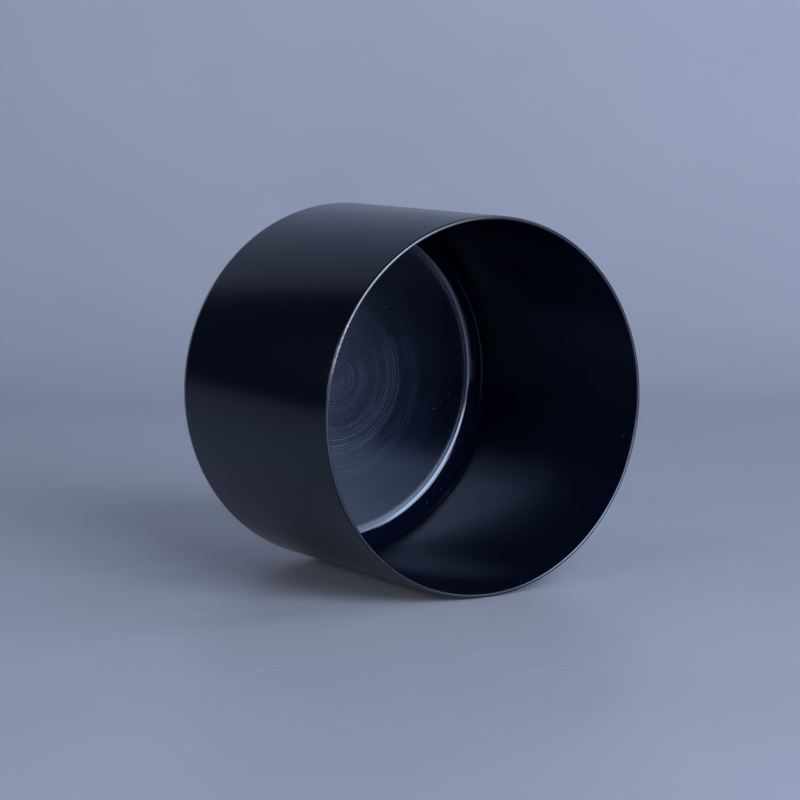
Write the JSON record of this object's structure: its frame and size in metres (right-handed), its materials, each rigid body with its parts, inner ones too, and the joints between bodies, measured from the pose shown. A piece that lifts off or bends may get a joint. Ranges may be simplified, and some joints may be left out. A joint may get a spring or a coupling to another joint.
{
  "type": "candle tin",
  "caption": "Straight-sided round metal cup with a rounded base corner and a plain lip, black inside and out, that holds a poured candle.",
  "frame": {"origin": "centre of the base, on the plane of the foot ring that the tin stands on", "axes": "+Z along the tin's axis, out of its mouth; the cup is round, so X and Y are any two directions across it"},
  "size_m": [0.08, 0.08, 0.0614],
  "materials": {
    "black_aluminium": "black anodised, satin, with fine turning marks on the inner floor"
  },
  "bodies": {
    "root": {"cup_body": "black_aluminium"}
  },
  "joints": []
}
